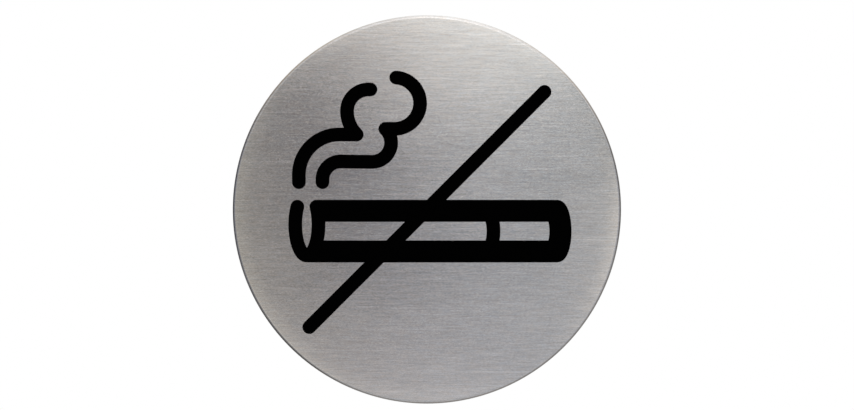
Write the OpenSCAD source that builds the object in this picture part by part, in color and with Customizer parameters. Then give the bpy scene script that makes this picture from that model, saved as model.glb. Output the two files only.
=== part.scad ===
// No smoking sign: a shallow pressed steel cap with a printed face and an adhesive pad in its back.
// The sign hangs upright. Its face looks along -Y, +Z is up, and the wall is the plane Y = 0.

/* [Plate] */
// Diameter of the round plate
plate_d = 83; // [80:0.5:120]
// Thickness of the steel sheet
sheet_t = 0.5; // [0.4:0.05:0.8]
// Depth of the cap, from its face to the cut edge of its skirt
plate_depth = 1.9; // [1.6:0.1:3]
// Inside radius of the bend between face and skirt
bend_r = 0.2; // [0.1:0.05:0.4]

/* [Adhesive pad] */
// Gap between the pad's edge and the skirt around it
pad_gap = 2; // [1:0.5:6]
// Height of the pad's back above the edge of the skirt
pad_proud = 0.2; // [0.1:0.05:0.5]

/* [Print] */
// Thickness of the ink film on the face
ink_t = 0.06; // [0.06:0.01:0.12]
// Width of the bar, the smoke trails, the open end's ring and the filter's band
stroke_w = 2.8; // [2.2:0.1:3.2]
// Distance from the plate's edge to each round end of the bar
bar_margin = 4.6; // [3:0.1:8]
// Slope of the bar, in degrees
bar_angle = 45; // [40:1:50]

/* [Cigarette] */
// Height of the cigarette, over its black outline
cigarette_h = 13.22; // [12.6:0.02:14]
// Height of the cigarette's centre line above the plate's centre
cigarette_z = -4.62; // [-5.5:0.02:-3.5]
// Thickness of the black outline above and below the windows
outline_t = 4.55; // [4:0.05:5]
// Distance from the plate's centre to the tip of the filter
filter_tip_x = 30.8; // [28:0.1:32]
// Thickness of the black outline at the tip of the filter
filter_wall = 4.58; // [4:0.02:5]
// Length of the filter's window
filter_window_l = 10.6; // [8:0.1:12]
// Radius of the curved edge at the end of each window
window_arc_r = 8.6; // [6:0.2:14]
// Depth of the oval curve at the filter's tip
tip_bulge = 1.7; // [1.4:0.1:2.2]
// Rounding of the outline around that oval curve
tip_rounding = 1.3; // [1:0.1:1.6]

/* [Open end] */
// Place of the open end's middle across the plate
mouth_x = -25.62; // [-26.5:0.02:-24.5]
// Width of the open end's ring, between the middles of its strokes
mouth_w = 4.96; // [4.6:0.02:5.4]
// Height of the ring's widest place above the cigarette's centre line
mouth_rise = 1.4; // [1:0.05:1.8]

/* [Smoke] */
// Height at which both smoke trails start
smoke_z = 5.85; // [5.2:0.05:8]
// Place of the left trail's start across the plate
left_x = -27.33; // [-28:0.01:-26.8]
// Length of the left trail's straight start
left_rise = 1.55; // [0.5:0.05:3]
// Radius of the left trail's first bend
left_low_r = 8.6; // [8:0.1:9.2]
// Length of the left trail's flat run up to its corner
left_run = 3.75; // [3:0.05:4.5]
// Turn at the left trail's corner, in degrees
left_corner = 135; // [125:1:140]
// Radius of the left trail's bend above the corner
left_mid_r = 7.1; // [6.5:0.1:8]
// Radius of the left trail's last bend
left_top_r = 4.6; // [4:0.1:5.2]
// Length of the left trail's straight end
left_tip = 0.4; // [0.1:0.05:1.5]
// Place of the right trail's start across the plate
right_x = -22.29; // [-22.6:0.01:-21.8]
// Length of the right trail's straight start
right_rise = 0.55; // [0.3:0.05:1.5]
// Radius of the right trail's first bend
right_low_r = 3.85; // [3.4:0.05:4.3]
// Length of the right trail's nearly flat run
right_run = 6.6; // [6:0.1:7.4]
// Fall of that run, in degrees
right_fall = 0.8; // [0:0.1:3]
// Radius of the right trail's bend up to its corner
right_mid_r = 4.1; // [3.6:0.1:4.6]
// Turn at the right trail's corner, in degrees
right_corner = 136; // [126:1:142]
// Length of the right trail's flat run after its corner
right_ledge = 1.95; // [1:0.05:3]
// Radius of the right trail's last bend
right_top_r = 5.48; // [5:0.02:6]
// Turn of the right trail's last bend, in degrees
right_top_turn = 176; // [150:1:185]

/* [Hidden] */
$fn = 96;

plate_r = plate_d / 2;
rim_r = bend_r + sheet_t;
recess_r = plate_r - sheet_t;
recess_depth = plate_depth - sheet_t;
pad_r = recess_r - pad_gap;
pad_t = recess_depth + pad_proud;
face_y = -(pad_proud + plate_depth);

stroke_r = stroke_w / 2;
bar_reach = plate_r - bar_margin - stroke_r;

cigarette_r = cigarette_h / 2;
window_h = cigarette_h - 2 * outline_t;
// How far a window's curved edge bulges past its corners
window_sag = window_arc_r - sqrt(pow(window_arc_r, 2) - pow(window_h / 2, 2));
filter_window_x = filter_tip_x - filter_wall;
tobacco_window_x = filter_window_x - filter_window_l - stroke_w;
tip_x = filter_tip_x - tip_bulge - tip_rounding;

// The ring of the open end is a stroke along an ellipse, cut off level with the outline's top
mouth_a = mouth_w / 2;
mouth_b = cigarette_r - stroke_r + mouth_rise;
mouth_cut = asin((cigarette_r - stroke_r - mouth_rise) / mouth_b);
// Direction of the ellipse's normal where the ring is cut
mouth_tilt = atan2(mouth_a * sin(mouth_cut), mouth_b * cos(mouth_cut));
// The ring's inner edge meets itself in a sharp point at the bottom, at this angle on the ellipse
mouth_point = acos(sqrt((pow(stroke_r * mouth_b / mouth_a, 2) - pow(mouth_a, 2))
                        / (pow(mouth_b, 2) - pow(mouth_a, 2))));
oval_step = 5;
end_step = 10;
overlap = 0.5;

// Point on an ellipse with half axes a and b, moved outward by off along the curve's own normal
function oval_point(a, b, t, off = 0) =
    let (normal = [b * cos(t), a * sin(t)])
    [a * cos(t), b * sin(t)] + off * normal / norm(normal);

// Points along that curve, with one exactly halfway
function oval_arc(a, b, from, to, off = 0) =
    let (steps = 2 * ceil(abs(to - from) / oval_step / 2))
    [for (i = [0 : steps]) oval_point(a, b, from + (to - from) * i / steps, off)];

// Points of a stroke's round end about c, without the last one
function end_arc(c, from, to) =
    let (steps = ceil((to - from) / end_step))
    [for (i = [0 : steps - 1])
        let (t = from + (to - from) * i / steps)
        c + stroke_r * [cos(t), sin(t)]];

module dot(p) {
    translate(p)
        circle(stroke_r);
}

module straight_stroke(p, heading, l) {
    translate(p)
        rotate(heading)
            translate([0, -stroke_r])
                square([l, stroke_w]);
}

module bent_stroke(centre, r, from, turn) {
    reach = 2 * (r + stroke_w);
    translate(centre)
        intersection() {
            difference() {
                circle(r + stroke_r);
                circle(r - stroke_r);
            }
            polygon(concat([[0, 0]],
                [for (i = [0 : 4]) reach * [cos(from + turn * i / 4), sin(from + turn * i / 4)]]));
        }
}

// One stroke with round ends, drawn as a chain of moves: [straight length, bend radius, turn].
// Each move starts where the last one ended, in the same direction. A bend of radius 0 turns on
// the spot, round a corner. A dot on every joint keeps the neighbours whole.
module trail(p, heading, moves, i = 0) {
    dot(p);
    if (i < len(moves)) {
        length = moves[i][0];
        r = moves[i][1];
        turn = moves[i][2];
        side = sign(turn) * [-sin(heading), cos(heading)];
        bend_start = p + length * [cos(heading), sin(heading)];
        centre = bend_start + r * side;
        bend_end = centre + r * sign(turn) * [sin(heading + turn), -cos(heading + turn)];
        if (length > 0)
            straight_stroke(p, heading, length);
        if (r > 0)
            bent_stroke(centre, r, heading - sign(turn) * 90, turn);
        if (length > 0 && r > 0)
            dot(bend_start);
        trail(bend_end, heading + turn, moves, i + 1);
    }
}

// Stands a flat drawing up on the plate's face, as a film of ink
module print_on_face() {
    color("black")
        translate([0, face_y, 0])
            rotate([90, 0, 0])
                linear_extrude(ink_t)
                    children();
}

module left_smoke() {
    print_on_face()
        trail([left_x, smoke_z], 90, [
            [left_rise, left_low_r, -90],
            [left_run, 0, left_corner],
            [0, left_mid_r, 90 - left_corner],
            [0, left_top_r, -90],
            [left_tip, 0, 0]
        ]);
}

module right_smoke() {
    print_on_face()
        trail([right_x, smoke_z], 90, [
            [right_rise, right_low_r, -90 - right_fall],
            [right_run, right_mid_r, right_fall + right_corner],
            [0, 0, -right_corner],
            [right_ledge, right_top_r, right_top_turn]
        ]);
}

// Cigarette, drawn about its own centre line
module band(from_x, to_x, from_z, to_z) {
    translate([from_x, from_z])
        square([to_x - from_x, to_z - from_z]);
}

module barrel() {
    band(mouth_x, tip_x, -cigarette_r, cigarette_r - stroke_r);
    band(mouth_x + mouth_a, tip_x, 0, cigarette_r);
    translate([tip_x, 0])
        polygon(oval_arc(tip_bulge, cigarette_r - tip_rounding, 0, 360 - oval_step, tip_rounding));
}

// A window from from_x to the middle of its curved edge at end_x
module window(from_x, end_x) {
    difference() {
        band(from_x, end_x, -window_h / 2, window_h / 2);
        difference() {
            band(end_x - window_sag, end_x + overlap, -window_h, window_h);
            translate([end_x - window_arc_r, 0])
                circle(window_arc_r);
        }
    }
}

module windows() {
    window(mouth_x, tobacco_window_x);
    difference() {
        window(tobacco_window_x, filter_window_x);
        translate([tobacco_window_x - window_arc_r, 0])
            circle(window_arc_r + stroke_w);
    }
}

// The ring of the open end, as one outline. Its left end is round, and its right end runs into
// the top of the cigarette's outline.
module mouth_ring() {
    top_z = cigarette_r - mouth_rise;
    right_end = oval_point(mouth_a, mouth_b, mouth_cut);
    left_end = oval_point(mouth_a, mouth_b, 180 - mouth_cut);
    join_x = oval_point(mouth_a, mouth_b, mouth_cut, stroke_r)[0];
    polygon(concat(
        oval_arc(mouth_a, mouth_b, 180 - mouth_cut, 360 + mouth_cut, stroke_r),
        [[join_x, top_z]],
        end_arc(right_end, 90, 180 + mouth_tilt),
        oval_arc(mouth_a, mouth_b, 360 + mouth_cut, 360 - mouth_point, -stroke_r),
        oval_arc(mouth_a, mouth_b, 180 + mouth_point - oval_step, 180 - mouth_cut, -stroke_r),
        end_arc(left_end, end_step - mouth_tilt, 180 - mouth_tilt)));
}

module cigarette() {
    difference() {
        barrel();
        windows();
        translate([mouth_x, mouth_rise])
            polygon(oval_arc(mouth_a, mouth_b, 0, 360 - oval_step));
    }
    translate([mouth_x, mouth_rise])
        mouth_ring();
}

module bar() {
    ends = bar_reach * [cos(bar_angle), sin(bar_angle)];
    straight_stroke(-ends, bar_angle, 2 * bar_reach);
    dot(ends);
    dot(-ends);
}

module cigarette_and_bar() {
    print_on_face() {
        translate([0, cigarette_z])
            cigarette();
        bar();
    }
}

// Section of a cap with a rounded edge, as half of a turned profile that opens downward
module cap_section(r, depth, edge_r) {
    square([r - edge_r, depth]);
    square([r, depth - edge_r]);
    translate([r - edge_r, depth - edge_r])
        circle(edge_r);
}

module face_plate() {
    color("silver")
        translate([0, -pad_proud, 0])
            rotate([90, 0, 0])
                rotate_extrude()
                    difference() {
                        cap_section(plate_r, plate_depth, rim_r);
                        cap_section(recess_r, recess_depth, bend_r);
                    }
}

module adhesive_pad() {
    color("whitesmoke")
        rotate([90, 0, 0])
            cylinder(r = pad_r, h = pad_t);
}

face_plate();
adhesive_pad();
cigarette_and_bar();
left_smoke();
right_smoke();
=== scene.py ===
import math

import bmesh
import bpy
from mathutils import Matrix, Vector, noise


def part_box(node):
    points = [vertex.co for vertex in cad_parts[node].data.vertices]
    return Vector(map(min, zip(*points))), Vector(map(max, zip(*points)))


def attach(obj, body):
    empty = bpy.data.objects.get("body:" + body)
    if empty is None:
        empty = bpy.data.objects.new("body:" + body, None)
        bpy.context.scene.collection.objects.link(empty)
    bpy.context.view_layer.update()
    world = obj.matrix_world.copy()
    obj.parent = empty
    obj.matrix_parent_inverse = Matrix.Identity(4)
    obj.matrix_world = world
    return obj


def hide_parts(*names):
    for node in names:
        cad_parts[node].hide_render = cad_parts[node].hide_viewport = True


print("loading the packed sign")
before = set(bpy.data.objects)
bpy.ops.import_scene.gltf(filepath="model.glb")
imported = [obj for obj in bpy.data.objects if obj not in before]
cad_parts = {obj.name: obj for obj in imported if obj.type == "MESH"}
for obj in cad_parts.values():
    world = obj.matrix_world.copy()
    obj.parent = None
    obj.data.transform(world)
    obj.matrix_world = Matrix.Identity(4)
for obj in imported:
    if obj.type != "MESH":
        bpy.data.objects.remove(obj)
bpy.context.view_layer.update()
mm = 0.001
white = (1, 1, 1, 1)


# small helpers for building shaders

def addNode(tree, kind, **settings):
    node = tree.nodes.new(kind)
    for key, value in settings.items():
        setattr(node, key, value)
    return node


def newFinish(name, kind="ShaderNodeBsdfPrincipled"):
    # a material with one shader of this kind, plugged into its output
    finish = bpy.data.materials.new(name)
    finish.use_nodes = True
    tree = finish.node_tree
    tree.nodes.clear()
    output = addNode(tree, "ShaderNodeOutputMaterial")
    shader = addNode(tree, kind)
    tree.links.new(shader.outputs[0], output.inputs[0])
    return finish, tree, shader


def plug(tree, source, socket):
    # source is either another node's output or a plain value
    if isinstance(source, bpy.types.NodeSocket):
        tree.links.new(source, socket)
    else:
        socket.default_value = source


def calc(tree, operation, first, second=0.0, third=0.0):
    node = addNode(tree, "ShaderNodeMath", operation=operation)
    for socket, source in zip(node.inputs, (first, second, third)):
        plug(tree, source, socket)
    return node.outputs[0]


def stretched(tree, place, scale, shift):
    # the place on the sheet, stretched so that one unit is one feature
    node = addNode(tree, "ShaderNodeVectorMath", operation="MULTIPLY_ADD")
    plug(tree, place, node.inputs[0])
    node.inputs[1].default_value = scale
    node.inputs[2].default_value = shift
    return node.outputs[0]


def noiseAt(tree, vector, detail, roughness):
    node = addNode(tree, "ShaderNodeTexNoise", noise_dimensions="3D")
    plug(tree, vector, node.inputs["Vector"])
    node.inputs["Scale"].default_value = 1.0
    node.inputs["Detail"].default_value = detail
    node.inputs["Roughness"].default_value = roughness
    return node.outputs["Fac"]


def swing(tree, value, depth, middle):
    # the middle, moved up and down by a noise value of 0 to 1
    if isinstance(middle, bpy.types.NodeSocket):
        return calc(tree, "MULTIPLY_ADD", value, depth, calc(tree, "SUBTRACT", middle, depth / 2))
    return calc(tree, "MULTIPLY_ADD", value, depth, middle - depth / 2)


lineStride = (7.31, 3.17)       # how far apart two neighbouring brush lines lie in the noise
lineRoughness = 0.6


def fibres(tree, place, scale, shift, detail=1.0):
    # straight brush lines: every line across the grain has its own noise along it
    apart = addNode(tree, "ShaderNodeSeparateXYZ")
    tree.links.new(stretched(tree, place, scale, shift), apart.inputs[0])
    line = calc(tree, "FLOOR", apart.outputs[1])
    joined = addNode(tree, "ShaderNodeCombineXYZ")
    tree.links.new(apart.outputs[0], joined.inputs[0])
    for socket, stride in zip(joined.inputs[1:], lineStride):
        tree.links.new(calc(tree, "MULTIPLY", line, stride), socket)
    return noiseAt(tree, joined.outputs[0], detail, lineRoughness)


def ramp(tree, value, fromLow, fromHigh, toLow, toHigh, smooth=False):
    node = addNode(tree, "ShaderNodeMapRange", clamp=True)
    node.interpolation_type = "SMOOTHSTEP" if smooth else "LINEAR"
    for socket, source in zip(node.inputs, (value, fromLow, fromHigh, toLow, toHigh)):
        plug(tree, source, socket)
    return node.outputs[0]


def blendColours(tree, amount, first, second, way="MIX"):
    node = addNode(tree, "ShaderNodeMix", data_type="RGBA", blend_type=way)
    for socket, source in zip((node.inputs[0], node.inputs[6], node.inputs[7]), (amount, first, second)):
        plug(tree, source, socket)
    return node.outputs[2]


def timesColour(tree, first, second):
    return blendColours(tree, 1.0, first, second, "MULTIPLY")


def blendNumbers(tree, amount, first, second):
    node = addNode(tree, "ShaderNodeMix", data_type="FLOAT")
    for socket, source in zip((node.inputs[0], node.inputs[2], node.inputs[3]), (amount, first, second)):
        plug(tree, source, socket)
    return node.outputs[0]


def tinted(tree, value):
    # one grey number as a colour
    node = addNode(tree, "ShaderNodeCombineColor")
    for socket in node.inputs:
        plug(tree, value, socket)
    return node.outputs[0]


def relief(tree, height, distance, strength=1.0):
    node = addNode(tree, "ShaderNodeBump")
    node.inputs["Strength"].default_value = strength
    node.inputs["Distance"].default_value = distance
    plug(tree, height, node.inputs["Height"])
    return node.outputs[0]


def addPiece(name, built):
    # turns finished bmesh work into an object of the scene
    mesh = bpy.data.meshes.new(name)
    built.to_mesh(mesh)
    built.free()
    piece = bpy.data.objects.new(name, mesh)
    bpy.context.scene.collection.objects.link(piece)
    return piece


# brushed stainless sheet

brushedSteel = {
    "colour": (0.513, 0.500, 0.487, 1),
    "coolColour": (0.486, 0.498, 0.510, 1),
    "backColour": (0.46, 0.455, 0.45, 1),
    "roughness": 0.16,
    "backRoughness": 0.42,
    "anisotropy": 0.7,
    "fineGrain": (2.3, 7.3, 1.0),       # features per mm along and across the brushing
    "longGrain": (0.22, 5.1, 1.0),
    "streaks": (0.06, 3.3, 1.0),
    "hueGrain": (0.5, 4.3, 1.0),
    "cloud": (0.035, 0.11, 1.0),
    "streakRange": (0.6, 0.75),         # noise values where a bright streak starts and is full
    "hueRange": (0.3, 0.7),
    "fineDepth": 0.61,                  # how much each layer brightens or darkens the steel
    "longDepth": 0.41,
    "streakDepth": 0.11,
    "cloudDepth": 0.05,
    "darkest": 0.2,
    "grainRoughness": 0.10,             # how much roughness varies with the grain and the clouds
    "cloudRoughness": 0.06,
    "longGroove": 0.6,                  # depth of the long lines against the fine ones
    "grooveDepth": 0.0005 * mm,
}


def brushedSteelFinish():
    made = brushedSteel
    finish, tree, shader = newFinish("brushedStainless")
    shader.inputs["Metallic"].default_value = 1.0
    shader.inputs["Anisotropic"].default_value = made["anisotropy"]

    place = addNode(tree, "ShaderNodeAttribute", attribute_name="sheetPlace").outputs["Vector"]
    across = addNode(tree, "ShaderNodeAttribute", attribute_name="acrossGrain").outputs["Vector"]
    brushed = addNode(tree, "ShaderNodeAttribute", attribute_name="brushed").outputs["Fac"]
    tree.links.new(across, shader.inputs["Tangent"])

    # each layer is shifted within the noise, so that no two look alike
    fine = fibres(tree, place, made["fineGrain"], (3, 7, 0), detail=2.0)
    long = fibres(tree, place, made["longGrain"], (11, 2, 0))
    streaks = fibres(tree, place, made["streaks"], (5, 17, 0))
    cloud = noiseAt(tree, stretched(tree, place, made["cloud"], (1, 4, 14)), detail=3.0, roughness=0.5)
    hue = fibres(tree, place, made["hueGrain"], (8, 31, 0))
    streak = ramp(tree, streaks, *made["streakRange"], 0.0, 1.0)

    # brightness of the lines: sum of the layers, about 1 on average
    light = swing(tree, fine, made["fineDepth"], 1.0)
    light = swing(tree, long, made["longDepth"], light)
    light = swing(tree, cloud, made["cloudDepth"], light)
    light = calc(tree, "MULTIPLY_ADD", streak, made["streakDepth"], light)
    light = calc(tree, "MAXIMUM", light, made["darkest"])

    warmth = ramp(tree, hue, *made["hueRange"], 0.0, 1.0)
    steel = blendColours(tree, warmth, made["colour"], made["coolColour"])
    front = timesColour(tree, steel, tinted(tree, light))
    tree.links.new(blendColours(tree, brushed, made["backColour"], front), shader.inputs["Base Color"])

    rough = swing(tree, fine, made["grainRoughness"], made["roughness"])
    rough = swing(tree, cloud, made["cloudRoughness"], rough)
    rough = blendNumbers(tree, brushed, made["backRoughness"], rough)
    tree.links.new(rough, shader.inputs["Roughness"])

    height = calc(tree, "MULTIPLY_ADD", long, made["longGroove"], fine)
    height = calc(tree, "MULTIPLY", height, brushed)
    tree.links.new(relief(tree, height, made["grooveDepth"]), shader.inputs["Normal"])
    return finish


# the pressed plate, turned from its section

steelPlate = {
    "sheet": 0.5 * mm,
    "insideBend": 0.2 * mm,
    "around": 384,
    "flatRings": 16,
    "dropRings": 8,
    "bendSteps": 12,
    "innerBendSteps": 5,
    "backRings": 10,
    "edgeDrop": 0.03 * mm,      # the face falls a little towards its bend
    "dropWidth": 3.3 * mm,
    "lastRing": 0.04 * mm,      # a ring this far before the bend keeps the face's shading flat
    "cutRound": 0.04 * mm,
}


def platePoints():
    # radius, place along Y, length along the sheet from its middle, tilt of the sheet, brushed or not
    made = steelPlate
    quarter = math.pi / 2
    low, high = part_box("face_plate")
    radius = high[0]
    faceY, edgeY = low[1], high[1]
    bend = made["insideBend"] + made["sheet"]
    flatEnd = radius - bend
    points = []

    # the face, with closer rings where it starts to fall
    dropStart = flatEnd - made["dropWidth"]
    wide = [flatEnd * k / made["flatRings"] for k in range(made["flatRings"] - 1)]
    close = [flatEnd - made["dropWidth"] * k / made["dropRings"] for k in range(made["dropRings"], 0, -1)]
    rings = sorted(set(round(r, 7) for r in wide + close))
    for r in rings + [flatEnd - made["lastRing"], flatEnd]:
        t = max(0.0, (r - dropStart) / made["dropWidth"])
        points.append((r, faceY + made["edgeDrop"] * t * t, r, 0.0, 1.0))

    # the bend
    for k in range(1, made["bendSteps"] + 1):
        a = quarter * k / made["bendSteps"]
        drop = made["edgeDrop"] * (1 - k / made["bendSteps"])
        points.append((flatEnd + bend * math.sin(a), faceY + bend * (1 - math.cos(a)) + drop,
                       flatEnd + bend * a, a, 1.0))

    # the skirt and its cut edge, brushed outside and plain inside
    skirtStart = flatEnd + bend * quarter
    skirtTop = faceY + bend
    skirtEnd = skirtStart + edgeY - skirtTop
    cut = made["cutRound"]
    for y in (skirtTop + (edgeY - skirtTop) / 2, edgeY - 2 * cut, edgeY - cut):
        points.append((radius, y, skirtStart + y - skirtTop, quarter, 1.0))
    inside = radius - made["sheet"]
    halfway = cut * 0.3         # halfway round the outer corner the brushing fades out
    points.append((radius - halfway, edgeY - halfway, skirtEnd, quarter, 0.4))
    points.append((radius - cut, edgeY, skirtEnd, quarter, 0.0))
    points.append((inside + cut / 2, edgeY, skirtEnd, quarter, 0.0))
    points.append((inside, edgeY - cut / 2, skirtEnd, quarter, 0.0))

    # the inner bend, and the back from half a ring inside it to the middle
    backY = faceY + made["sheet"]
    for k in range(made["innerBendSteps"] + 1):
        a = quarter * (1 - k / made["innerBendSteps"])
        points.append((flatEnd + made["insideBend"] * math.sin(a),
                       backY + made["insideBend"] * (1 - math.cos(a)), flatEnd + bend * a, a, 0.0))
    for k in range(made["backRings"], -1, -1):
        r = flatEnd * k / (made["backRings"] + 0.5)
        points.append((r, backY, r, 0.0, 0.0))
    return points


def turnedMesh(name, points, around):
    # spins a section about the Y axis and keeps where each point lies on the flat sheet
    made = bmesh.new()
    place = made.verts.layers.float_vector.new("sheetPlace")
    across = made.verts.layers.float_vector.new("acrossGrain")
    brushed = made.verts.layers.float.new("brushed")
    rings = []
    for r, y, along, tilt, finish in points:
        ring = []
        count = around if r > 0.001 * mm else 1     # a section starts and ends in one middle point
        for k in range(count):
            a = 2 * math.pi * k / around
            ca, sa = math.cos(a), math.sin(a)
            v = made.verts.new((r * ca, y, r * sa))
            v[place] = (along * ca / mm, along * sa / mm, 0.0)
            outward = Vector((ca * math.cos(tilt), math.sin(tilt), sa * math.cos(tilt)))
            v[across] = sa * outward + ca * Vector((-sa, 0, ca))
            v[brushed] = finish
            ring.append(v)
        rings.append(ring)
    for first, second in zip(rings, rings[1:]):
        for k in range(around):
            n = (k + 1) % around
            corners = [first[k % len(first)], first[n % len(first)],
                       second[n % len(second)], second[k % len(second)]]
            corners = [v for i, v in enumerate(corners) if v not in corners[:i]]
            made.faces.new(corners)
    bmesh.ops.recalc_face_normals(made, faces=made.faces)
    for face in made.faces:
        face.smooth = True
    return addPiece(name, made)


print("pressing the steel plate")
plate = turnedMesh("steel_plate", platePoints(), steelPlate["around"])
plate.data.materials.append(brushedSteelFinish())
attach(plate, "root")
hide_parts("face_plate")


# the printed pictogram

blackInk = {
    "colour": (0.0002, 0.0002, 0.00025, 1),
    "specular": 0.005,
    "roughness": 0.6,
    "speckles": 6000,           # features per metre of the fine and the slow unevenness
    "swells": 300,
    "shadeRange": 0.6,
    "roughnessRange": 0.16,
    "speckleHeight": 0.4,
    "skinDepth": 0.006 * mm,
    "skinStrength": 0.4,
    "spread": 0.07 * mm,        # ink creeps a little past its stencil
    "shoulder": 0.02 * mm,
    "sharpest": 0.35,           # keeps a sharp tip from running away as it spreads
    "mergeWithin": 0.02 * mm,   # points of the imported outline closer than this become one
    "straighten": math.radians(0.5),
    "frontWithin": 0.0001 * mm,
}


def blackInkFinish():
    made = blackInk
    finish, tree, shader = newFinish("screenPrintedBlack")
    shader.inputs["Specular IOR Level"].default_value = made["specular"]
    place = addNode(tree, "ShaderNodeTexCoord").outputs["Object"]
    fine = stretched(tree, place, (made["speckles"],) * 3, (2, 3, 4))
    slow = stretched(tree, place, (made["swells"],) * 3, (8, 1, 6))
    speckle = noiseAt(tree, fine, detail=3.0, roughness=0.6)
    swell = noiseAt(tree, slow, detail=2.0, roughness=0.5)
    shade = swing(tree, swell, made["shadeRange"], 1.0)
    tree.links.new(timesColour(tree, made["colour"], tinted(tree, shade)), shader.inputs["Base Color"])
    rough = swing(tree, speckle, made["roughnessRange"], made["roughness"])
    tree.links.new(rough, shader.inputs["Roughness"])
    height = calc(tree, "MULTIPLY_ADD", speckle, made["speckleHeight"], swell)
    tree.links.new(relief(tree, height, made["skinDepth"], made["skinStrength"]), shader.inputs["Normal"])
    return finish


def isWall(face):
    # a face that stands up from the plate
    return abs(face.normal.y) < 0.5


def spreadInk(made, amount, sharpest):
    # moves every corner of the outline out along the middle of its two walls
    made.normal_update()
    moves = []
    for v in made.verts:
        walls = [Vector((f.normal.x, 0, f.normal.z)).normalized() for f in v.link_faces if isWall(f)]
        if walls:
            out = sum(walls, Vector()).normalized()
            moves.append((v, out * amount / max(out.dot(walls[0]), sharpest)))
    for v, move in moves:
        v.co += move


def inkFilm(name, nodeName, finish):
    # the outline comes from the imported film, and its front edges are rounded as ink sets
    ink = blackInk
    made = bmesh.new()
    made.from_mesh(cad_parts[nodeName].data)
    bmesh.ops.remove_doubles(made, verts=made.verts, dist=ink["mergeWithin"])
    bmesh.ops.dissolve_limit(made, angle_limit=ink["straighten"], verts=made.verts, edges=made.edges)
    spreadInk(made, ink["spread"], ink["sharpest"])
    frontY = min(v.co.y for v in made.verts)
    front = [e for e in made.edges if all(abs(v.co.y - frontY) < ink["frontWithin"] for v in e.verts)]
    rim = [e for e in front if len(e.link_faces) == 2 and any(isWall(f) for f in e.link_faces)]
    bmesh.ops.bevel(made, geom=rim, offset=ink["shoulder"], segments=2, profile=0.5, affect="EDGES")
    bmesh.ops.triangulate(made, faces=[f for f in made.faces if len(f.verts) > 4])
    piece = addPiece(name, made)
    piece.data.materials.append(finish)
    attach(piece, "root")
    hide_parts(nodeName)


print("printing the pictogram")
inkFinish = blackInkFinish()
for nodeName in ("cigarette_and_bar", "left_smoke", "right_smoke"):
    inkFilm(nodeName + "_ink", nodeName, inkFinish)


# the adhesive pad in the back

foamPad = {
    "around": 320,
    "edgeRows": 10,
    "edgeRound": 0.12 * mm,
    "edgePower": 6,                 # the edge is straight, and rounds off only near its ends
    "backRound": 1.5,               # the back edge is rounder, over the front one
    "edgeStep": 0.03 * mm,          # the cut edge starts this far from each flat side
    "flatRings": (1 / 16, 4 / 16, 8 / 16, 12 / 16, 15 / 16),
    "ragged": 0.05 * mm,
    "raggedAround": 14,             # how quickly the raggedness changes round the edge and across it
    "raggedPerMetre": 2500,
    "colour": (0.82, 0.81, 0.78, 1),
    # painted shade: the open cells' hollows darken towards this colour
    "paintedCellShade": (0.50, 0.49, 0.46, 1),
    "glueColour": (0.80, 0.77, 0.69, 1),
    "wetColour": (0.74, 0.70, 0.60, 1),
    "cellsPerMetre": 5200,
    "cellWall": (0.04, 0.30),       # where a cell's wall ends and its hollow is full
    "cellShade": (0.25, 0.85),      # how deep the painted shade in a hollow is where the foam is dense and where it is open
    "mottlePerMetre": 260,
    "mottleRange": (0.3, 0.7),
    "foamRoughness": 0.88,
    "linerPitch": 1.5 * mm,         # the release liner leaves its crossed ribs in the glue
    "linerDepth": 0.035 * mm,
    # painted shade in the ribs' troughs, as their bumps alone show little under soft light
    "ribPaintedShade": 0.06,
    "ribRange": (0.35, 0.6),        # the ribs fade in patches, down to half
    "ribShare": (0.5, 1.0),
    "bubblesPerMetre": 330,
    "bubblesFrom": 0.55,            # the share of the spots without a bubble
    "bubbleSize": (0.02, 0.34),     # smallest and largest, in bubble spacings
    "bubbleEdge": (0.75, 1.1),
    "bubbleWet": 0.8,
    "stainsPerMetre": 55,
    "stainRange": (0.45, 0.68),
    "stainWet": 0.75,
    "glueRoughness": 0.42,
    "mottleRoughness": 0.12,
    "wetGloss": -0.14,              # stains and bubbles are smoother
    "cellHeight": -2.5,             # heights in liner depths
    "bubbleHeight": 1.2,
    "stainHeight": 3.0,
}


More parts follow.
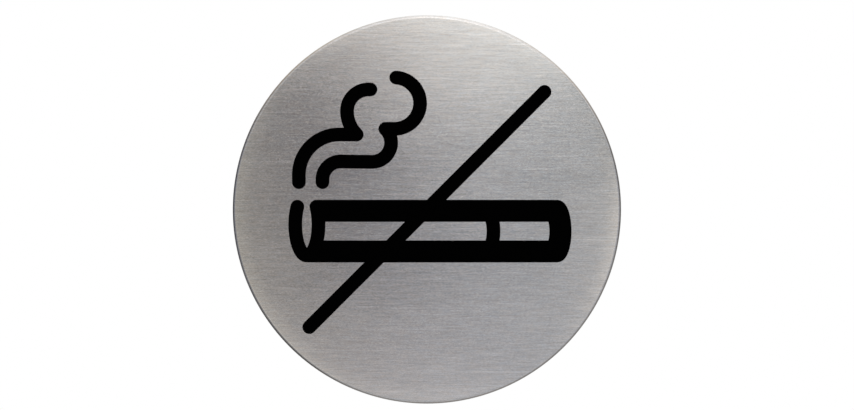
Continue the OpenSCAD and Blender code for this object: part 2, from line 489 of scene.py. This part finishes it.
def foamPadFinish():
    made = foamPad
    finish, tree, shader = newFinish("foamTape")
    place = addNode(tree, "ShaderNodeTexCoord").outputs["Object"]
    onGlue = addNode(tree, "ShaderNodeAttribute", attribute_name="glue").outputs["Fac"]

    # foam: open cells where the knife went through, with a few larger holes, their hollows darkened with
    # painted shade
    cells = addNode(tree, "ShaderNodeTexVoronoi", feature="DISTANCE_TO_EDGE")
    plug(tree, stretched(tree, place, (made["cellsPerMetre"],) * 3, (0, 0, 0)), cells.inputs["Vector"])
    cells.inputs["Scale"].default_value = 1.0
    hollow = ramp(tree, cells.outputs["Distance"], *made["cellWall"], 0.0, 1.0, smooth=True)
    mottled = stretched(tree, place, (made["mottlePerMetre"],) * 3, (5, 6, 7))
    mottle = noiseAt(tree, mottled, detail=4.0, roughness=0.6)
    # painted shade in the cell hollows, deeper where the foam is open
    shade = calc(tree, "MULTIPLY", hollow, ramp(tree, mottle, *made["mottleRange"], *made["cellShade"]))
    foam = blendColours(tree, shade, made["colour"], made["paintedCellShade"])

    # glue: crossed ribs with painted shade in their troughs, soft stains and round air bubbles under the
    # film
    apart = addNode(tree, "ShaderNodeSeparateXYZ")
    tree.links.new(place, apart.inputs[0])
    turn = 2 * math.pi / made["linerPitch"]
    slope = calc(tree, "ADD", apart.outputs[0], apart.outputs[2])
    fall = calc(tree, "SUBTRACT", apart.outputs[0], apart.outputs[2])
    ribs = calc(tree, "MULTIPLY", calc(tree, "SINE", calc(tree, "MULTIPLY", slope, turn)),
                calc(tree, "SINE", calc(tree, "MULTIPLY", fall, turn)))
    ribs = calc(tree, "MULTIPLY", ribs, ramp(tree, mottle, *made["ribRange"], *made["ribShare"]))
    drops = addNode(tree, "ShaderNodeTexVoronoi", feature="F1")
    plug(tree, stretched(tree, place, (made["bubblesPerMetre"],) * 3, (3, 1, 2)), drops.inputs["Vector"])
    drops.inputs["Scale"].default_value = 1.0
    dropColour = addNode(tree, "ShaderNodeSeparateColor")
    tree.links.new(drops.outputs["Color"], dropColour.inputs[0])
    dropSize = dropColour.outputs[0]
    reach = ramp(tree, dropSize, made["bubblesFrom"], 1.0, *made["bubbleSize"])
    bubble = calc(tree, "DIVIDE", drops.outputs["Distance"], reach)
    bubble = ramp(tree, bubble, *made["bubbleEdge"], 1.0, 0.0, smooth=True)
    stained = stretched(tree, place, (made["stainsPerMetre"],) * 3, (9, 2, 4))
    stain = noiseAt(tree, stained, detail=5.0, roughness=0.62)
    wet = calc(tree, "MAXIMUM", ramp(tree, stain, *made["stainRange"], 0.0, made["stainWet"], smooth=True),
               calc(tree, "MULTIPLY", bubble, made["bubbleWet"]))
    glue = blendColours(tree, wet, made["glueColour"], made["wetColour"])
    # painted shade: the glue darkens in the troughs between the ribs
    paintedRibShade = calc(tree, "MULTIPLY_ADD", ribs, made["ribPaintedShade"], 1 - made["ribPaintedShade"])
    glue = timesColour(tree, glue, tinted(tree, paintedRibShade))
    tree.links.new(blendColours(tree, onGlue, foam, glue), shader.inputs["Base Color"])

    glueRough = calc(tree, "MULTIPLY_ADD", wet, made["wetGloss"], made["glueRoughness"])
    glueRough = calc(tree, "MULTIPLY_ADD", mottle, made["mottleRoughness"], glueRough)
    rough = blendNumbers(tree, onGlue, made["foamRoughness"], glueRough)
    tree.links.new(rough, shader.inputs["Roughness"])

    edgeHeight = calc(tree, "MULTIPLY", hollow, made["cellHeight"])
    glueHeight = calc(tree, "MULTIPLY_ADD", stain, made["stainHeight"], ribs)
    glueHeight = calc(tree, "MULTIPLY_ADD", bubble, made["bubbleHeight"], glueHeight)
    height = blendNumbers(tree, onGlue, edgeHeight, glueHeight)
    tree.links.new(relief(tree, height, made["linerDepth"]), shader.inputs["Normal"])
    return finish


def padMesh():
    made = foamPad
    low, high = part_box("adhesive_pad")
    radius = high[0] - made["ragged"]
    frontY, backY = low[1], high[1]
    around, rows, step = made["around"], made["edgeRows"], made["edgeStep"]
    across, along = made["raggedAround"], made["raggedPerMetre"]
    built = bmesh.new()
    glue = built.verts.layers.float.new("glue")
    rings = []

    def ring(r, y, onGlue, rough):
        out = []
        for k in range(around):
            a = 2 * math.pi * k / around
            ca, sa = math.cos(a), math.sin(a)
            wobble = noise.noise(Vector((ca * across, sa * across, y * along))) * made["ragged"] * rough
            v = built.verts.new(((r + wobble) * ca, y, (r + wobble) * sa))
            v[glue] = onGlue
            out.append(v)
        rings.append(out)

    for part in made["flatRings"]:
        ring(radius * part, frontY, 1.0, 0.0)
    ring(radius - made["edgeRound"], frontY, 1.0, 0.5)
    for k in range(rows + 1):
        t = k / rows
        y = frontY + step + (backY - frontY - 2 * step) * t
        bulge = -made["edgeRound"] * abs(2 * t - 1) ** made["edgePower"]
        ring(radius + bulge, y, 0.0, 1.0)
    ring(radius - made["edgeRound"] * made["backRound"], backY, 1.0, 0.5)
    for part in reversed(made["flatRings"]):
        ring(radius * part, backY, 1.0, 0.0)
    for first, second in zip(rings, rings[1:]):
        for k in range(around):
            n = (k + 1) % around
            built.faces.new([first[k], first[n], second[n], second[k]])
    built.faces.new(rings[0])
    built.faces.new(rings[-1])
    bmesh.ops.recalc_face_normals(built, faces=built.faces)
    for face in built.faces:
        face.smooth = True
    return addPiece("foam_pad", built)


print("cutting the foam pad")
pad = padMesh()
pad.data.materials.append(foamPadFinish())
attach(pad, "root")
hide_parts("adhesive_pad")


# studio: pale floor, soft lamps, a white background and a light tent for the steel to mirror

studio = {
    "floorDrop": 0.8,
    "floorRadius": 1.5,
    "floorSides": 96,
    "floorColour": (0.82, 0.82, 0.82, 1),
    "floorFade": (0.4, 0.98),       # where the floor starts to fade out and is gone, over its radius
    "ambient": 0.85,
    # where each softbox stands, its width and height, its brightness and its colour
    "above": {"place": (0.0179, -0.6309, 0.2532), "width": 0.286, "height": 0.420, "level": 1.13,
              "colour": (1.067, 1.017, 0.916)},
    "below": {"place": (-0.1300, -0.6550, -0.1284), "width": 0.371, "height": 0.125, "level": 0.41,
              "colour": (1.084, 0.992, 0.924)},
    "behind": {"place": (-0.55, 0.85, 0.65), "width": 0.7, "height": 0.7, "level": 2.6,
               "mirrored": False},
}

lightTent = {
    "radius": 0.75,
    "sides": 64,
    "rows": 32,
    "cloth": (0.711, 0.708, 0.741, 1),
    "beside": (0.24, 0.232, 0.232, 1),
    "besideRange": (-0.75, -0.3),       # where the cloth darkens to the sides, as depth over radius
    "rear": (0.60, 0.59, 0.58, 1),
    "rearRange": (0.72, 0.92),
    "poolRange": (-0.3, -0.1),          # the pools fade out here, so that none falls on the cloth behind
    "darkest": (0.03, 0.03, 0.03),
    # soft patches of light and shade: middle (right, up), width and height over the radius, and colour
    # beside the sign, mirrored mostly by its rim and where the steel is seen from the side
    "around": (
        ((0.13, 0.92), (0.45, 0.27), (1.48, 1.43, 1.38)),
        ((0.85, -0.50), (0.25, 0.25), (0.14, 0.125, 0.11)),
        ((-0.57, -0.20), (0.13, 0.40), (-0.35, -0.352, -0.37)),
        ((-0.93, 0.05), (0.15, 0.25), (-0.12, -0.11, -0.09)),
        ((0.42, 0.42), (0.12, 0.12), (0.25, 0.22, 0.16)),
        ((-0.62, 0.74), (0.22, 0.20), (0.32, 0.25, 0.15)),
        ((0.70, 0.62), (0.20, 0.20), (0.30, 0.25, 0.19)),
        ((0.10, -0.95), (0.50, 0.22), (0.24, 0.22, 0.20)),
    ),
    # in front of the sign, mirrored by its face
    "pools": (
        ((0.209, -0.019), (0.060, 0.063), (1.561, 1.376, 1.163)),
        ((0.187, 0.055), (0.085, 0.097), (-0.871, -0.784, -0.735)),
        ((-0.063, 0.226), (0.061, 0.261), (-0.699, -0.697, -0.664)),
        ((-0.248, -0.105), (0.119, 0.225), (-0.066, -0.107, -0.233)),
    ),
}


def whiteForCamera(tree):
    # 1 for camera, glossy and transmission rays
    path = addNode(tree, "ShaderNodeLightPath")
    seen = calc(tree, "MAXIMUM", path.outputs["Is Camera Ray"], path.outputs["Is Glossy Ray"])
    return calc(tree, "MAXIMUM", seen, path.outputs["Is Transmission Ray"])


def paleWorld():
    world = bpy.data.worlds.new("paleStudio")
    bpy.context.scene.world = world
    world.use_nodes = True
    world.cycles.sampling_method = "NONE"
    tree = world.node_tree
    tree.nodes.clear()
    output = addNode(tree, "ShaderNodeOutputWorld")
    background = addNode(tree, "ShaderNodeBackground")
    background.inputs[0].default_value = white
    strength = calc(tree, "MULTIPLY_ADD", whiteForCamera(tree), 1 - studio["ambient"], studio["ambient"])
    tree.links.new(strength, background.inputs[1])
    tree.links.new(background.outputs[0], output.inputs[0])


def softPatch(tree, right, up, middle, size):
    # 1 in the patch's middle, falling off as a bell curve of this width and height
    rootHalf = 0.7071               # makes the size the curve's standard deviation
    across = calc(tree, "MULTIPLY", calc(tree, "SUBTRACT", right, middle[0]), rootHalf / size[0])
    along = calc(tree, "MULTIPLY", calc(tree, "SUBTRACT", up, middle[1]), rootHalf / size[1])
    away = calc(tree, "MULTIPLY_ADD", across, across, calc(tree, "MULTIPLY", along, along))
    return calc(tree, "EXPONENT", calc(tree, "MULTIPLY", away, -1.0))


def addTent():
    made = lightTent
    built = bmesh.new()
    bmesh.ops.create_uvsphere(built, u_segments=made["sides"], v_segments=made["rows"],
                              radius=made["radius"])
    tent = addPiece("light_tent", built)
    tent.visible_camera = False
    tent.visible_diffuse = False
    tent.visible_shadow = False
    tent.visible_transmission = False
    finish, tree, glow = newFinish("tentCloth", "ShaderNodeEmission")
    place = addNode(tree, "ShaderNodeTexCoord").outputs["Object"]
    apart = addNode(tree, "ShaderNodeSeparateXYZ")
    tree.links.new(stretched(tree, place, (1 / made["radius"],) * 3, (0, 0, 0)), apart.inputs[0])
    right, depth, up = apart.outputs
    toSides = ramp(tree, depth, *made["besideRange"], 0.0, 1.0, smooth=True)
    toRear = ramp(tree, depth, *made["rearRange"], 0.0, 1.0, smooth=True)
    inFront = ramp(tree, depth, *made["poolRange"], 1.0, 0.0, smooth=True)
    cloth = blendColours(tree, toSides, made["cloth"], made["beside"])
    cloth = blendColours(tree, toRear, cloth, made["rear"])
    for kind in ("pools", "around"):
        for middle, size, colour in made[kind]:
            amount = softPatch(tree, right, up, middle, size)
            if kind == "pools":
                amount = calc(tree, "MULTIPLY", amount, inFront)
            patch = addNode(tree, "ShaderNodeVectorMath", operation="SCALE")
            patch.inputs[0].default_value = colour
            tree.links.new(amount, patch.inputs["Scale"])
            total = addNode(tree, "ShaderNodeVectorMath", operation="ADD")
            tree.links.new(cloth, total.inputs[0])
            tree.links.new(patch.outputs[0], total.inputs[1])
            cloth = total.outputs[0]
    least = addNode(tree, "ShaderNodeVectorMath", operation="MAXIMUM")
    least.inputs[1].default_value = made["darkest"]
    tree.links.new(cloth, least.inputs[0])
    tree.links.new(least.outputs[0], glow.inputs[0])
    finish.cycles.emission_sampling = "NONE"
    tent.data.materials.append(finish)


def paleFloor():
    radius = studio["floorRadius"]
    built = bmesh.new()
    bmesh.ops.create_circle(built, cap_ends=True, radius=radius, segments=studio["floorSides"])
    floor = addPiece("studio_floor", built)
    floor.location.z = -studio["floorDrop"]
    finish, tree, fade = newFinish("paleFloor", "ShaderNodeMixShader")
    diffuse = addNode(tree, "ShaderNodeBsdfDiffuse")
    diffuse.inputs[0].default_value = studio["floorColour"]
    clear = addNode(tree, "ShaderNodeBsdfTransparent")
    place = addNode(tree, "ShaderNodeTexCoord").outputs["Object"]
    distance = addNode(tree, "ShaderNodeVectorMath", operation="LENGTH")
    tree.links.new(place, distance.inputs[0])
    start, end = (radius * part for part in studio["floorFade"])
    plug(tree, ramp(tree, distance.outputs["Value"], start, end, 0.0, 1.0, smooth=True), fade.inputs[0])
    tree.links.new(diffuse.outputs[0], fade.inputs[1])
    tree.links.new(clear.outputs[0], fade.inputs[2])
    floor.data.materials.append(finish)


def softbox(name, place, width, height, level, colour=(1, 1, 1), mirrored=True):
    # level is how bright the box's face looks, where 1 is white
    lamp = bpy.data.lights.new(name, "AREA")
    lamp.shape = "ELLIPSE"
    lamp.size = width
    lamp.size_y = height
    lamp.color = colour
    lamp.energy = level * math.pi * (math.pi / 4 * width * height)
    holder = bpy.data.objects.new(name, lamp)
    holder.location = place
    holder.rotation_euler = (-Vector(place)).to_track_quat("-Z", "Y").to_euler()
    holder.visible_camera = False
    holder.visible_glossy = mirrored
    bpy.context.scene.collection.objects.link(holder)


print("setting up the studio")
paleWorld()
paleFloor()
addTent()
for name in ("above", "below", "behind"):
    softbox(name + "Softbox", **studio[name])


# camera: straight on, a little above the middle, as the photo frames the disc

camera = {
    "lens": 100.0,
    "sensor": 36.0,
    "clipStart": 0.01,
    "clipEnd": 20,
    "imageWidth": 854,
    "imageHeight": 410,
    "discPixelX": 426.91,       # the disc's middle in the photo
    "discPixelY": 209.48,
    "discPixelRadius": 194.3,   # and its radius, a quarter of a pixel up for the render's softer edge
    "scaleDepth": 0.35 * mm,    # the radius holds here, between the face and the widest part of the rim
}


def addCamera():
    made = camera
    low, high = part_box("face_plate")
    perPixel = high[0] / made["discPixelRadius"]
    distance = perPixel * made["imageWidth"] * made["lens"] / made["sensor"]
    scaleY = low[1] + made["scaleDepth"]
    data = bpy.data.cameras.new("photoCamera")
    data.lens = made["lens"]
    data.sensor_width = made["sensor"]
    data.clip_start = made["clipStart"]
    data.clip_end = made["clipEnd"]
    holder = bpy.data.objects.new("photoCamera", data)
    holder.location = ((made["imageWidth"] / 2 - made["discPixelX"]) * perPixel, scaleY - distance,
                       (made["discPixelY"] - made["imageHeight"] / 2) * perPixel)
    holder.rotation_euler = (math.pi / 2, 0, 0)
    bpy.context.scene.collection.objects.link(holder)
    bpy.context.scene.camera = holder


print("placing the camera")
addCamera()
bpy.context.scene.view_settings.view_transform = "Standard"
